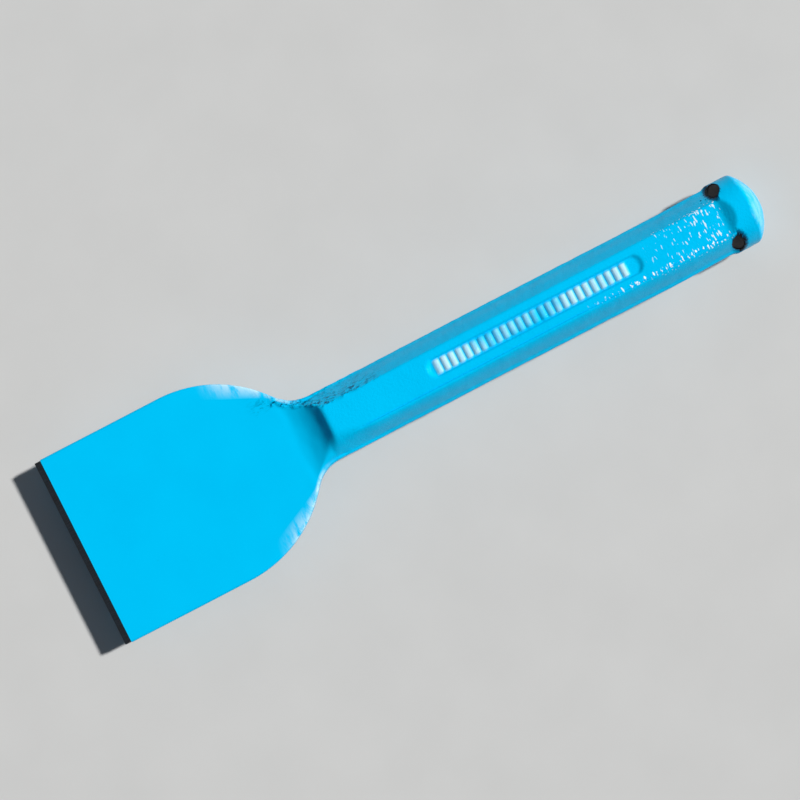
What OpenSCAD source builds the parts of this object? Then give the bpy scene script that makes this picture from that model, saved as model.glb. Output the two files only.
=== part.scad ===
// Floor scraper: a one-piece forged steel scraper with a wide flat blade, a hexagonal shank and a round
// striking head, dipped in enamel and ground bare along its cutting edge.
//
// +X runs along the tool from the cutting edge to the struck end, +Y across the blade and +Z up. The origin
// is under the middle of the tool's length and width, level with the lowest point of the head.
//
// The steel and its paint are one shape drawn twice: every outline takes a growth g, the distance that it
// stands outside the bare steel, so the film is the grown forging with the bare one taken out of it.

/* [Overall] */
// Length from the cutting edge to the struck end
overall_len = 241; // [236:1:260]
// Thickness of the enamel film
film_t = 0.2; // [0.15:0.05:0.3]

/* [Blade] */
// Width of the blade
blade_w = 64; // [60:1:68]
// Length of the blade's parallel sides
blade_straight = 44; // [36:1:46]
// Thickness of the blade where the ground bevels begin
tip_t = 2.8; // [2.2:0.1:3.4]
// Thickness of the blade at the foot of the neck
neck_t = 6; // [4.6:0.1:7]
// Length of each ground bevel along the tool
bevel_len = 2.3; // [1.6:0.1:4]
// Thickness left at the cutting edge
edge_t = 0.4; // [0.3:0.1:0.8]

/* [Neck] */
// Radius of the rounded shoulders at the back of the blade
shoulder_r = 41; // [40:1:44]
// Radius of the hollow where each shoulder turns into the shank
hollow_r = 13; // [11:1:15]
// Distance from the cutting edge to the foot of the ramp up to the shank's flat
ramp_start = 76.4; // [72:0.2:77]
// Radius of the ramp's hollow foot
ramp_r = 15; // [13:1:17]
// Radius of the rounded edge where the ramp meets the flat
ramp_edge_r = 2; // [2:0.5:5]

/* [Shank] */
// Width of the shank across its blunted side corners
shank_w = 22; // [21:0.2:22.4]
// Height of the shank across its top and bottom flats
shank_h = 19.2; // [18.8:0.2:20.4]
// Width of the top and bottom flats
flat_w = 11.2; // [10.6:0.2:11.2]
// Height of the blunted side corners
side_h = 3.4; // [2.6:0.2:4.4]
// Distance from the cutting edge to where the last of the blade's thickness dies out along the shank
ledge_end = 116; // [104:1:122]

/* [Sunk panel] */
// Distance from the cutting edge to the panel's near end
panel_start = 123.8; // [116:0.2:126]
// Length of the panel
panel_len = 74.3; // [73:0.1:80]
// Width of the panel
panel_w = 6.6; // [6:0.2:7.4]
// Depth of the panel below the flat
panel_depth = 0.8; // [0.6:0.1:1.2]
// Number of raised bars in the panel
bar_count = 26; // [8:1:26]
// Distance from the panel's near end to the middle of the first bar
bar_inset = 3.3; // [3:0.1:3.6]
// Distance from one bar to the next
bar_pitch = 2.6; // [2.2:0.1:2.6]
// Length of a bar across the shank
bar_len = 4; // [3:0.1:4.4]
// Width of a bar along the shank
bar_w = 0.9; // [0.8:0.1:1.4]
// Height of a bar above the panel's floor
bar_h = 0.6; // [0.4:0.1:0.6]

/* [Striking head] */
// Diameter of the head
head_d = 23.4; // [23.4:0.2:24.4]
// Distance from the struck end to where the shank's faces begin to run out into the head
runout_back = 14; // [12:0.2:15]
// Slope of the run-out at the end of each face
runout_angle = 28; // [28:1:40]
// Length of the domed end
dome_len = 5.2; // [4.6:0.2:7.4]
// Diameter of the flat struck face in the middle of the dome
struck_d = 5; // [4:0.5:11]

/* [Bare spots] */
// Length along the shank of the bare spot at the end of each sloping facet
spot_len = 4; // [3:0.2:4.4]
// How far a bare spot begins ahead of its run-out
spot_lead = 0.2; // [0.1:0.1:1]
// Reach of a bare spot across its facet
spot_across = 7.8; // [7:0.2:9]

/* [Hidden] */
$fn = 96;

// Lengths along the tool are counted from the cutting edge, and heights from the parting plane, halfway up
// the forging. The steel stops one film short of the overall length.
steel_len = overall_len - film_t;
parting_z = head_d / 2 + film_t;
reach = blade_w;
arc_steps = 20;

// Centres of the shoulder and hollow arcs, and the angle at which the one passes into the other
shoulder_x = blade_straight;
shoulder_y = blade_w / 2 - shoulder_r;
hollow_y = shank_w / 2 + hollow_r;
hollow_x = shoulder_x + sqrt(pow(shoulder_r + hollow_r, 2) - pow(hollow_y - shoulder_y, 2));
join_angle = atan2(hollow_y - shoulder_y, hollow_x - shoulder_x);

// Centres of the ramp's hollow foot and rounded edge, and the ramp's slope where they meet
ramp_z = neck_t / 2 + ramp_r;
ramp_edge_z = shank_h / 2 - ramp_edge_r;
ramp_edge_x = ramp_start + sqrt(pow(ramp_r + ramp_edge_r, 2) - pow(ramp_z - ramp_edge_z, 2));
ramp_angle = atan2(ramp_edge_x - ramp_start, ramp_z - ramp_edge_z);

spot_depth = 1;

corner_run = (shank_w - flat_w) / 2;
corner_drop = (shank_h - side_h) / 2;
corner_angle = atan2(corner_drop, corner_run);

runout_x = overall_len - runout_back;

// The dome is part of a ball that passes through the barrel's rim and the rim of the struck face
dome_start = steel_len - dome_len;
dome_c = dome_start + (dome_len - (pow(head_d, 2) - pow(struck_d, 2)) / (4 * dome_len)) / 2;
dome_r = norm([head_d / 2, dome_start - dome_c]);

// Direction of each face of the shank about the tool's length, from +Y, and its distance from the middle
facet_out = (flat_w * sin(corner_angle) + shank_h * cos(corner_angle)) / 2;
faces = [
    [0, shank_w / 2], [90 - corner_angle, facet_out], [90, shank_h / 2], [90 + corner_angle, facet_out],
    [180, shank_w / 2], [270 - corner_angle, facet_out], [270, shank_h / 2], [270 + corner_angle, facet_out]
];

// ---- The bare forging, grown by g ------------------------------------------------------------------------

// Points along an arc about c, from angle a0 to angle a1.
function arc(c, r, a0, a1) =
    [for (i = [0:arc_steps]) let (a = a0 + (a1 - a0) * i / arc_steps) c + r * [cos(a), sin(a)]];

// Where the faces of the grown shank begin to slope out into the head
function runout_start(g) = runout_x - g * tan(runout_angle / 2);

function mirrored(points) = [for (i = [len(points) - 1:-1:0]) [points[i].x, -points[i].y]];

// Outline seen from above: parallel sides, rounded shoulders, hollows, and the shank's blunted corners.
module plan(g) {
    half = concat(
        [[0, blade_w / 2 + g]],
        arc([shoulder_x, shoulder_y], shoulder_r + g, 90, join_angle),
        arc([hollow_x, hollow_y], hollow_r - g, 180 + join_angle, 270),
        [[runout_start(g), shank_w / 2 + g]]
    );
    polygon(concat(half, mirrored(half)));
}

// Outline seen from the side: ground bevels, tapered blade, hollow ramps and the shank's flats.
module profile(g) {
    half = concat(
        [[0, edge_t / 2 + g], [bevel_len, tip_t / 2 + g]],
        arc([ramp_start, ramp_z], ramp_r - g, 270, 270 + ramp_angle),
        arc([ramp_edge_x, ramp_edge_z], ramp_edge_r + g, 90 + ramp_angle, 90),
        [[runout_start(g), shank_h / 2 + g]]
    );
    polygon(concat(half, mirrored(half)));
}

// What one sloping facet takes off, seen along the shank. X counts outwards from the side of the shank.
module corner_waste(g) {
    outer = g + 1;
    rise = g / cos(corner_angle);
    polygon([
        [outer, side_h / 2 - outer * tan(corner_angle) + rise],
        [outer, shank_h],
        [-corner_run, shank_h],
        [-corner_run, shank_h / 2 + rise]
    ]);
}

// The blade's thickness carried on past the neck, thinning out along the corners of the shank.
module ledge(g) {
    half = [[0, neck_t / 2 + g], [hollow_x, neck_t / 2 + g], [ledge_end, side_h / 4]];
    translate([0, reach, 0])
        rotate([90, 0, 0]) linear_extrude(height = 2 * reach) polygon(concat(half, mirrored(half)));
}

// The sloping facets run straight along the shank and then follow the hollows outwards at the neck.
module corner_cuts(g) {
    difference() {
        for (side = [0, 1], half = [0, 1])
            mirror([0, side, 0]) mirror([0, 0, half]) {
                translate([hollow_x, shank_w / 2, 0])
                    rotate([90, 0, 90])
                        linear_extrude(height = steel_len) corner_waste(g);
                translate([hollow_x, hollow_y, 0])
                    rotate([0, 0, 180])
                        rotate_extrude(angle = 90)
                            translate([hollow_r, 0]) mirror([1, 0]) corner_waste(g);
            }
        ledge(g);
    }
}

module shank_and_blade(g) {
    difference() {
        intersection() {
            translate([0, 0, -shank_h]) linear_extrude(height = 2 * shank_h) plan(g);
            translate([0, reach, 0])
                rotate([90, 0, 0]) linear_extrude(height = 2 * reach) profile(g);
        }
        corner_cuts(g);
    }
}

// The head: a round barrel with a domed end, from which each face of the shank takes a slope off.
module head(g) {
    start = runout_start(g);
    rim = acos((head_d / 2 + g) / (dome_r + g));
    flat = asin((steel_len + g - dome_c) / (dome_r + g));
    difference() {
        rotate([90, 0, 90])
            rotate_extrude()
                polygon(concat(
                    [[0, start], [head_d / 2 + g, start]],
                    arc([0, dome_c], dome_r + g, rim, flat),
                    [[0, steel_len + g]]
                ));
        for (face = faces)
            rotate([face[0], 0, 0])
                translate([start, face[1] + g, -head_d])
                    linear_extrude(height = 2 * head_d)
                        polygon([[-1, 0], [0, 0], [head_d, head_d * tan(runout_angle)], [-1, head_d]]);
    }
}

// The sunk panel with its round ends, and the row of bars left standing in it.
module panel(g) {
    end_r = panel_w / 2 - g;
    near = panel_start + panel_w / 2;
    far = panel_start + panel_len - panel_w / 2;
    translate([0, 0, shank_h / 2 - panel_depth + g])
        difference() {
            linear_extrude(height = 2 * panel_depth)
                polygon(concat(arc([near, 0], end_r, 90, 270), arc([far, 0], end_r, -90, 90)));
            for (i = [0:bar_count - 1])
                translate([panel_start + bar_inset + i * bar_pitch - bar_w / 2 - g, -bar_len / 2 - g, 0])
                    cube([bar_w + 2 * g, bar_len + 2 * g, bar_h]);
        }
}

module forging(g) {
    difference() {
        shank_and_blade(g);
        panel(g);
    }
    head(g);
}

// The patches that the enamel leaves bare, on the run-outs of all four sloping facets: each is as long as
// its spot at the middle of the facet and half as long at its two ends.
module bare_spots() {
    half_len = spot_len / 2;
    half_across = spot_across / 2;
    for (side = [0, 1], half = [0, 1])
        mirror([0, side, 0]) mirror([0, 0, half])
            translate([runout_x - spot_lead + half_len, (flat_w + shank_w) / 4, (shank_h + side_h) / 4])
                rotate([-corner_angle, 0, 0])
                    translate([0, 0, -spot_depth])
                        linear_extrude(height = spot_depth + head_d / 4)
                            polygon([
                                [-half_len, 0], [-half_len / 2, half_across], [half_len / 2, half_across],
                                [half_len, 0], [half_len / 2, -half_across], [-half_len / 2, -half_across]
                            ]);
}

// ---- The two pieces --------------------------------------------------------------------------------------

// From lengths along the tool and heights from the parting plane to the tool's own frame.
module placed() {
    translate([-overall_len / 2, 0, parting_z]) children();
}

module forged_body() {
    color("dimgray") placed() forging(0);
}

module enamel_coat() {
    color("deepskyblue")
        placed()
            difference() {
                forging(film_t);
                forging(0);
                translate([-1, -reach, -reach]) cube([1 + bevel_len, 2 * reach, 2 * reach]);
                bare_spots();
            }
}

forged_body();
enamel_coat();
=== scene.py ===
import logging
import math
from dataclasses import dataclass
from enum import Enum
from functools import cached_property

import bmesh
import bpy
from mathutils import Matrix, Vector, noise


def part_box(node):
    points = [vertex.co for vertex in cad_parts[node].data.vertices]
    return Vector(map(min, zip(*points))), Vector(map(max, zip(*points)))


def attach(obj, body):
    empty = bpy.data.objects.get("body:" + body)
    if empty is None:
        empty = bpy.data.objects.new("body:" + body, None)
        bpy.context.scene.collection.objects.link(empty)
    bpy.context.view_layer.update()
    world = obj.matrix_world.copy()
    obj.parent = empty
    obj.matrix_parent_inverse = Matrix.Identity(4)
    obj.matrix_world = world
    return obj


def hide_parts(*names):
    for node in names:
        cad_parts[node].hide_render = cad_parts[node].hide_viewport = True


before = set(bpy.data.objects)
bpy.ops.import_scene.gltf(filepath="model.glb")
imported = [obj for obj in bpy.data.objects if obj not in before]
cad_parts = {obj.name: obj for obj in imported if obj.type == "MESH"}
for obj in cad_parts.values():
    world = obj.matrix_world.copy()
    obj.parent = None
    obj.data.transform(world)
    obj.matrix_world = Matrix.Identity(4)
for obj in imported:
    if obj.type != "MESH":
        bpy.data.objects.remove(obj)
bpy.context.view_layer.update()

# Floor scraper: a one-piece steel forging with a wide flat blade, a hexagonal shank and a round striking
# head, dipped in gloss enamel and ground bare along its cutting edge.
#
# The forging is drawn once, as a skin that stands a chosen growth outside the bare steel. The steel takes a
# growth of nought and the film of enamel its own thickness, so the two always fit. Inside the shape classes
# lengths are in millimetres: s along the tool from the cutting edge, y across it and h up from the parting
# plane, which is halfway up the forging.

MM = 0.001
WELD = 1e-7  # vertices closer than this, in metres, are one

log = logging.getLogger("floor_scraper")


def smoothstep(low: float, high: float, value: float) -> float:
    """Ease from 0 to 1 between two values.

    Args:
        low: Value at which the result leaves 0.
        high: Value at which the result reaches 1. It may lie below low, and the ease then falls.
        value: Value to look up.

    Returns:
        The eased share, from 0 to 1.
    """
    t = min(max((value - low) / (high - low), 0.0), 1.0)
    return t * t * (3.0 - 2.0 * t)


def soft_min(a: float, b: float, soft: float) -> float:
    """Take the smaller of two values, with the corner between them rounded.

    Args:
        a: First value.
        b: Second value.
        soft: How far apart the two may be and still be rounded into each other.

    Returns:
        The rounded smaller value.
    """
    if soft <= 0.0:
        return min(a, b)
    near = max(soft - abs(a - b), 0.0) / soft
    return min(a, b) - near * near * soft / 4.0


def evenly(runs: list[tuple[float, float, int]]) -> list[float]:
    """Step evenly along each of a row of stretches.

    Args:
        runs: Start, end and number of steps of each stretch.

    Returns:
        The start of every step.
    """
    return [start + (end - start) * i / count for start, end, count in runs for i in range(count)]


def linear(hex_code: str) -> tuple[float, float, float, float]:
    """Turn an sRGB hex colour linear.

    Args:
        hex_code: Six hex digits, two for each of red, green and blue.

    Returns:
        Linear red, green, blue and an alpha of 1.
    """
    channels = (int(hex_code[i : i + 2], 16) / 255.0 for i in (0, 2, 4))
    return (*(c / 12.92 if c <= 0.04045 else ((c + 0.055) / 1.055) ** 2.4 for c in channels), 1.0)


# ---- The shape of the forging -----------------------------------------------------------------------------


class Zone(Enum):
    """Part of a section that a spoke of the skin runs through, going outwards from the middle."""

    FLAT = "top or bottom flat"
    FACET = "sloping facet"
    LEDGE = "ledge outside the facet"
    ROUND = "rounded edge"
    WALL = "side"


@dataclass(frozen=True)
class Spoke:
    """One lengthwise line of the skin's mesh: the quarter it lies in, its zone and its share of the zone."""

    side: int
    half: int
    zone: Zone
    share: float


@dataclass(frozen=True)
class Station:
    """One ring of the skin's mesh: its distance along the tool, and how far it is drawn in to the middle."""

    s: float
    shrink: float = 1.0


@dataclass(frozen=True)
class ForgingShape:
    """The forging's sizes in millimetres, and the surface that they give."""

    steel_len: float
    blade_half: float
    head_r: float
    film: float

    blade_straight: float = 44.0
    tip_half: float = 1.4
    neck_half: float = 3.0
    bevel_len: float = 2.3
    edge_half: float = 0.2

    shoulder_r: float = 41.0
    hollow_r: float = 13.0
    ramp_start: float = 76.4
    ramp_r: float = 15.0
    ramp_edge_r: float = 2.0

    shank_half_w: float = 11.0
    shank_half_h: float = 9.6
    flat_half: float = 5.6
    side_half: float = 1.7
    ledge_end: float = 116.0

    panel_start: float = 123.8
    panel_len: float = 74.3
    panel_half: float = 3.3
    panel_depth: float = 0.8
    panel_side_wall: float = 0.3
    panel_end_wall: float = 1.8
    bar_count: int = 26
    bar_inset: float = 3.3
    bar_pitch: float = 2.6
    bar_half_len: float = 2.0
    bar_half_w: float = 0.45
    bar_h: float = 0.6
    bar_wall: float = 0.26

    runout_back: float = 14.0
    runout_slope: float = 0.58
    runout_soft: float = 2.2
    dome_len: float = 5.2
    struck_r: float = 2.5
    rim_soft: float = 0.3
    rim_ease: float = 0.2
    head_lean: float = 0.6
    lean_from: float = 204.0
    lean_to: float = 236.0

    edge_round: float = 0.8
    ridge_soft: float = 1.3
    facet_least: float = 1.5
    neck_soft: float = 4.5
    neck_soft_from: float = -2.0
    neck_soft_to: float = 8.0
    near_swell: float = 1.15
    far_swell: float = -0.3
    swell_bias: float = 0.63
    swell_lead: float = 14.0
    rim_groove: float = 0.9
    groove_from: float = 0.5
    soft_share: float = 0.5
    worn_soft_share: float = 0.7
    blade_lines_end: float = 10.0
    blade_ridge: float = 0.6
    blade_foot: float = 0.9
    least_gap: float = 0.1

    # ---- Derived places ----

    @cached_property
    def hollow_y(self) -> float:
        """Distance of the hollows' centres from the middle."""
        return self.shank_half_w + self.hollow_r

    @cached_property
    def hollow_s(self) -> float:
        """Distance of the hollows' centres from the cutting edge."""
        rise = self.hollow_y - self.shoulder_y
        return self.blade_straight + math.sqrt((self.shoulder_r + self.hollow_r) ** 2 - rise**2)

    @cached_property
    def shoulder_y(self) -> float:
        """Distance of the shoulders' centres from the middle."""
        return self.blade_half - self.shoulder_r

    @cached_property
    def join_angle(self) -> float:
        """Direction in which a shoulder passes into its hollow."""
        return math.atan2(self.hollow_y - self.shoulder_y, self.hollow_s - self.blade_straight)

    @cached_property
    def ramp_h(self) -> float:
        """Height of the centre of the ramp's hollow foot."""
        return self.neck_half + self.ramp_r

    @cached_property
    def ramp_edge_h(self) -> float:
        """Height of the centre of the ramp's rounded edge."""
        return self.shank_half_h - self.ramp_edge_r

    @cached_property
    def ramp_edge_s(self) -> float:
        """Distance of the centre of the ramp's rounded edge from the cutting edge."""
        drop = self.ramp_h - self.ramp_edge_h
        return self.ramp_start + math.sqrt((self.ramp_r + self.ramp_edge_r) ** 2 - drop**2)

    @cached_property
    def ramp_angle(self) -> float:
        """Slope of the ramp where its foot meets its edge."""
        return math.atan2(self.ramp_edge_s - self.ramp_start, self.ramp_h - self.ramp_edge_h)

    @cached_property
    def corner_angle(self) -> float:
        """Slope of the facets across the shank."""
        drop = self.shank_half_h - self.side_half
        return math.atan2(drop, self.shank_half_w - self.flat_half)

    @cached_property
    def dome_start(self) -> float:
        """Distance of the barrel's rim from the cutting edge."""
        return self.steel_len - self.dome_len

    @cached_property
    def dome_s(self) -> float:
        """Distance of the centre of the dome's ball from the cutting edge."""
        spread = (self.head_r**2 - self.struck_r**2) / self.dome_len
        return self.dome_start + (self.dome_len - spread) / 2.0

    @cached_property
    def dome_r(self) -> float:
        """Radius of the dome's ball."""
        return math.hypot(self.head_r, self.dome_start - self.dome_s)

    @cached_property
    def spoke_ring(self) -> list[Spoke]:
        """Put the spokes in their order round the tool, from the middle of the top towards +Y.

        Returns:
            The spokes of all four quarters and the two that lie in the parting plane.
        """
        upper = self.quarter(fine=True)
        lower = self.quarter(fine=False)
        parting = Spoke(1, 1, Zone.WALL, 1.0)
        ring = [Spoke(1, 1, *spot) for spot in upper] + [parting]
        ring += [Spoke(1, -1, *spot) for spot in reversed(lower)]
        ring += [Spoke(-1, -1, *spot) for spot in lower[1:]] + [Spoke(-1, 1, Zone.WALL, 1.0)]
        ring += [Spoke(-1, 1, *spot) for spot in reversed(upper[1:])]
        return ring

    def quarter(self, fine: bool) -> list[tuple[Zone, float]]:
        """Place the spokes of a quarter of the section, from its middle to just short of the parting plane.

        Args:
            fine: Whether the flat has the close spokes that its sunk panel and bars need.

        Returns:
            The zone and share of each spoke.
        """
        # Close together at the walls of the panel and bars, at the ridge and along the facet's foot
        if fine:
            wall = self.panel_side_wall / 2.0
            bar = self.bar_wall / 2.0
            across = [0.0, 0.7, 1.4, self.bar_half_len - bar, self.bar_half_len + bar, 2.6]
            across += [self.panel_half - wall, self.panel_half, self.panel_half + wall, 4.0, 4.6, 5.1, 5.4]
            flat = [y / self.flat_half for y in across]
            facet = [0.0, 0.05, 0.13, 0.26, 0.42, 0.58, 0.74, 0.87, 0.95]
        else:
            flat = [0.0, 0.25, 0.5, 0.72, 0.88, 0.96]
            facet = [0.0, 0.08, 0.24, 0.45, 0.66, 0.86]
        spots = [(Zone.FLAT, share) for share in flat] + [(Zone.FACET, share) for share in facet]
        spots += [(Zone.LEDGE, share) for share in (0.0, 0.5)]
        spots += [(Zone.ROUND, share) for share in (0.0, 0.33, 0.66, 1.0)]
        return spots + [(Zone.WALL, 0.5)]

    @cached_property
    def runout_start(self) -> float:
        """Distance from the cutting edge at which the shank's faces begin to sweep out into the head."""
        return self.steel_len + self.film - self.runout_back - self.runout_soft / 2.0

    def stations(self, g: float, first: float) -> list[Station]:
        """Place the rings of the skin along the tool.

        Args:
            g: Growth outside the bare steel.
            first: Distance of the first ring from the cutting edge.

        Returns:
            The rings in order, the last one drawn in to a point.
        """
        panel_near = self.panel_start - self.panel_end_wall
        panel_far = self.panel_start + self.panel_len + self.panel_end_wall
        ramp_end = self.ramp_edge_s + self.ramp_edge_r
        first_bar = self.panel_start + self.bar_inset
        marks = evenly(
            [
                (0.0, self.bevel_len, 4),
                (self.bevel_len, self.blade_straight, 26),
                (self.blade_straight, self.ramp_start, 32),
                (self.ramp_start, ramp_end, 42),
                (ramp_end, panel_near, 32),
                (panel_near, first_bar - self.bar_pitch / 2.0, 10),
            ]
        )
        near, far = self.bar_half_w - self.bar_wall / 2.0, self.bar_half_w + self.bar_wall / 2.0
        for i in range(self.bar_count):
            middle = first_bar + i * self.bar_pitch
            marks += [middle + step for step in (-self.bar_pitch / 2.0, -far, -near, 0.0, near, far)]
        last_bar = first_bar + (self.bar_count - 0.5) * self.bar_pitch
        runout = self.runout_start
        marks += evenly([(last_bar, panel_far, 12), (panel_far, runout, 30), (runout, self.dome_start, 26)])
        rim = math.acos((self.head_r + g) / (self.dome_r + g))
        flat = math.asin((self.steel_len + g - self.dome_s) / (self.dome_r + g))
        steps = 16
        marks += [
            self.dome_s + (self.dome_r + g) * math.sin(rim + (flat - rim) * i / steps)
            for i in range(steps + 1)
        ]
        rings = [Station(s) for s in marks if s > first - WELD]
        return rings + [Station(self.steel_len + g, shrink) for shrink in (0.78, 0.52, 0.26, 0.0)]

    # ---- The surface ----

    def half_width(self, s: float, g: float) -> float:
        """Find the half width of the outline seen from above.

        Args:
            s: Distance from the cutting edge.
            g: Growth outside the bare steel.

        Returns:
            The half width.
        """
        if s <= self.blade_straight:
            return self.blade_half + g
        shoulder = self.shoulder_r + g
        hollow = self.hollow_r - g
        if s <= self.blade_straight + shoulder * math.cos(self.join_angle):
            return self.shoulder_y + math.sqrt(shoulder**2 - (s - self.blade_straight) ** 2)
        if s <= self.hollow_s:
            return self.hollow_y - math.sqrt(hollow**2 - (s - self.hollow_s) ** 2)
        return self.shank_half_w + g

    def flat_height(self, s: float, g: float) -> float:
        """Find the height of the middle of the top, without the panel.

        Args:
            s: Distance from the cutting edge.
            g: Growth outside the bare steel.

        Returns:
            The height above the parting plane.
        """
        if s <= self.bevel_len:
            return self.edge_half + (self.tip_half - self.edge_half) * s / self.bevel_len + g
        if s <= self.ramp_start:
            along = (s - self.bevel_len) / (self.ramp_start - self.bevel_len)
            return self.tip_half + (self.neck_half - self.tip_half) * along + g
        foot = self.ramp_r - g
        edge = self.ramp_edge_r + g
        if s <= self.ramp_start + foot * math.sin(self.ramp_angle):
            return self.ramp_h - math.sqrt(foot**2 - (s - self.ramp_start) ** 2)
        if s <= self.ramp_edge_s:
            return self.ramp_edge_h + math.sqrt(edge**2 - (s - self.ramp_edge_s) ** 2)
        return self.shank_half_h + g

    def ledge_height(self, s: float, g: float) -> float:
        """Find the height of the ledge that carries the blade's thickness on past the neck.

        Args:
            s: Distance from the cutting edge.
            g: Growth outside the bare steel.

        Returns:
            The height above the parting plane, or nought where the ledge has died out.
        """
        if s <= self.hollow_s:
            return self.neck_half + g
        along = (s - self.hollow_s) / (self.ledge_end - self.hollow_s)
        return max(self.neck_half + g - (self.neck_half - self.side_half / 2.0) * along, 0.0)

    def inset(self, s: float, y: float) -> float:
        """Measure how far in a place lies from the side of the shank or from the wall of the hollow.

        Args:
            s: Distance from the cutting edge.
            y: Distance from the middle.

        Returns:
            The distance in from the bare steel's outline.
        """
        if s >= self.hollow_s:
            return self.shank_half_w - y
        return math.hypot(s - self.hollow_s, self.hollow_y - y) - self.hollow_r

    def place_inset(self, s: float, inset: float) -> float:
        """Turn a distance in from the outline back into a distance from the middle.

        Args:
            s: Distance from the cutting edge.
            inset: Distance in from the bare steel's outline.

        Returns:
            The distance from the middle.
        """
        if s >= self.hollow_s:
            return self.shank_half_w - inset
        reach = (self.hollow_r + inset) ** 2 - (s - self.hollow_s) ** 2
        return self.hollow_y - math.sqrt(max(reach, 0.0))

    def corners(self, s: float, g: float) -> tuple[float, float, float, float]:
        """Find the corners of a section.

        Args:
            s: Distance from the cutting edge.
            g: Growth outside the bare steel.

        Returns:
            The distances from the middle of the flat's ridge, the facet's foot and the side, and the
            radius of the rounded edge.
        """
        side = self.half_width(s, g)
        edge = min(self.edge_round, self.flat_height(s, g) / 2.0)
        rise = g / math.cos(self.corner_angle)
        slope = math.tan(self.corner_angle)
        at = max(s, self.ramp_start)
        top_inset = (self.flat_height(at, g) - self.side_half - rise) / slope
        foot_inset = (self.ledge_height(at, g) - self.side_half - rise) / slope
        ridge = self.place_inset(at, top_inset)
        foot = self.place_inset(at, max(foot_inset, 0.0))
        # On the blade there is no facet, and its lines of mesh spread out into set shares of the width
        blend = smoothstep(self.blade_straight - self.blade_lines_end, self.ramp_start, s)
        foot += (self.blade_foot * side - foot) * (1.0 - blend)
        foot = min(foot, side - edge - self.least_gap)
        ridge += (self.blade_ridge * side - ridge) * (1.0 - blend)
        ridge = min(ridge, foot - self.facet_least)
        return ridge, foot, side, edge

    def height(self, s: float, y: float, g: float, side: int) -> float:
        """Find the height of the top surface, without the panel and before its outer edge is rounded.

        Args:
            s: Distance from the cutting edge.
            y: Distance from the middle.
            g: Growth outside the bare steel.
            side: 1 for the +Y side, -1 for the other, whose ridge is worn softer at the neck.

        Returns:
            The height above the parting plane.
        """
        rise = g / math.cos(self.corner_angle)
        facet = self.side_half + rise + self.inset(s, y) * math.tan(self.corner_angle)
        flat = self.flat_height(s, g)
        past = s - self.ramp_edge_s
        worn = smoothstep(self.neck_soft_to, self.neck_soft_from, past) if side < 0 else 0.0
        widest = self.ridge_soft + (self.neck_soft - self.ridge_soft) * worn
        share = self.soft_share + self.worn_soft_share * worn
        soft = min(widest, max(flat - self.neck_half - g, 0.0) * share)
        return soft_min(flat, max(facet, self.ledge_height(s, g)), soft)

    def swell(self, spoke: Spoke) -> float:
        """Find how far the shank's section stands out from a true hexagon.

        The dies have left the facets a little full on one side and hollow on the other, with a shallow
        groove above the rim that runs along the parting plane.

        Args:
            spoke: Lengthwise line that is looked up.

        Returns:
            The distance upwards, or downwards on the lower half.
        """
        if spoke.zone is Zone.FACET:
            full = self.far_swell if spoke.side > 0 else self.near_swell
            groove = self.rim_groove * smoothstep(self.groove_from, 1.0, spoke.share)
            return full * math.sin(math.pi * spoke.share**self.swell_bias) - groove
        if spoke.zone is Zone.LEDGE:
            return -self.rim_groove
        if spoke.zone is Zone.ROUND:
            return -self.rim_groove * (1.0 - spoke.share)
        return 0.0

    def panel_drop(self, s: float, y: float, g: float) -> float:
        """Find how far the panel sinks the flat at a place, with its raised bars taken off.

        Args:
            s: Distance from the cutting edge.
            y: Distance from the middle.
            g: Growth outside the bare steel.

        Returns:
            The drop below the flat.
        """
        near = self.panel_start + self.panel_half
        far = self.panel_start + self.panel_len - self.panel_half
        past = max(near - s, s - far, 0.0)
        span = math.hypot(past, y)
        end_share = (past / span) ** 2 if span > 0.0 else 0.0
        wall = self.panel_side_wall + (self.panel_end_wall - self.panel_side_wall) * end_share
        drop = self.panel_depth * smoothstep(-wall / 2.0, wall / 2.0, self.panel_half - g - span)
        first = self.panel_start + self.bar_inset
        index = min(max(round((s - first) / self.bar_pitch), 0), self.bar_count - 1)
        soft = self.bar_wall / 2.0
        along = self.bar_half_w + g - abs(s - first - index * self.bar_pitch)
        across = self.bar_half_len + g - y
        bar = smoothstep(-soft, soft, along) * smoothstep(-soft, soft, across)
        return drop - self.bar_h * bar

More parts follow.
